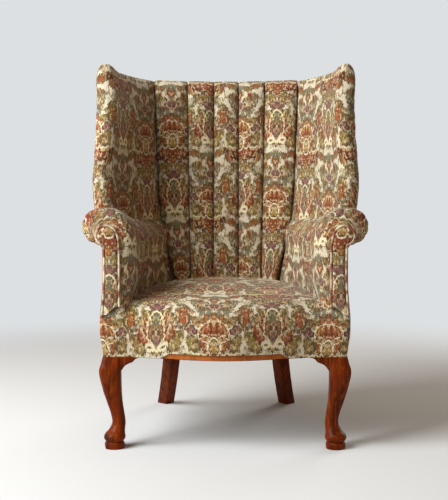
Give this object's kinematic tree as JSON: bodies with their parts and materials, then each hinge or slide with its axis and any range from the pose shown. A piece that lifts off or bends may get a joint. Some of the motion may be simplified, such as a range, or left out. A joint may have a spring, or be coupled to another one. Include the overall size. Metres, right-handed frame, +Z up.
{
  "type": "barrel back wing armchair",
  "caption": "Upholstered wing armchair with a curved barrel back sewn in channels, rolled scroll arms, a tight sprung seat with a bowed front and carved cabriole front legs.",
  "frame": {"origin": "on the floor, below the middle of the chair's bounding box", "axes": "+Z up; the chair faces -Y; +X is the right side as seen from the front"},
  "size_m": [0.792, 0.77, 1.1],
  "materials": {
    "mahogany": "dark red-brown polished mahogany",
    "beech": "plain beech frame, stained along the bare strip under the seat's front",
    "tapestry": "woven damask tapestry in cream, rust, olive and plum",
    "piping": "cord covered in the same tapestry",
    "jute": "jute webbing",
    "hessian": "coarse hessian",
    "spring_steel": "plain spring steel wire",
    "cambric": "black dust cloth"
  },
  "bodies": {
    "root": {"front_ear_right": "mahogany", "front_leg_right": "mahogany", "rear_leg_right": "mahogany", "side_ear_right": "mahogany", "arm_rail_right": "beech", "arm_stump_right": "beech", "arm_tuck_rail_right": "beech", "back_post_right": "beech", "corner_block_front_right": "beech", "corner_block_rear_right": "beech", "scroll_board_right": "beech", "side_seat_rail_right": "beech", "wing_post_right": "beech", "wing_rail_right": "beech", "arm_right": "tapestry", "arm_facing_right": "tapestry", "outside_arm_right": "tapestry", "outside_wing_right": "tapestry", "wing_right": "tapestry", "facing_piping_right": "piping", "front_ear_left": "mahogany", "front_leg_left": "mahogany", "rear_leg_left": "mahogany", "side_ear_left": "mahogany", "arm_rail_left": "beech", "arm_stump_left": "beech", "arm_tuck_rail_left": "beech", "back_post_left": "beech", "corner_block_front_left": "beech", "corner_block_rear_left": "beech", "scroll_board_left": "beech", "side_seat_rail_left": "beech", "wing_post_left": "beech", "wing_rail_left": "beech", "arm_left": "tapestry", "arm_facing_left": "tapestry", "outside_arm_left": "tapestry", "outside_wing_left": "tapestry", "wing_left": "tapestry", "facing_piping_left": "piping", "front_seat_rail": "beech", "back_seat_rail": "beech", "crest_rail": "beech", "back_tuck_rail": "beech", "seat": "tapestry", "inside_back": "tapestry", "outside_back": "tapestry", "seat_webbing": "jute", "spring_hessian": "hessian", "seat_spring_1": "spring_steel", "seat_spring_2": "spring_steel", "seat_spring_3": "spring_steel", "seat_spring_4": "spring_steel", "seat_spring_5": "spring_steel", "seat_spring_6": "spring_steel", "seat_spring_7": "spring_steel", "seat_spring_8": "spring_steel", "seat_spring_9": "spring_steel", "bottom_cloth": "cambric"}
  },
  "joints": []
}
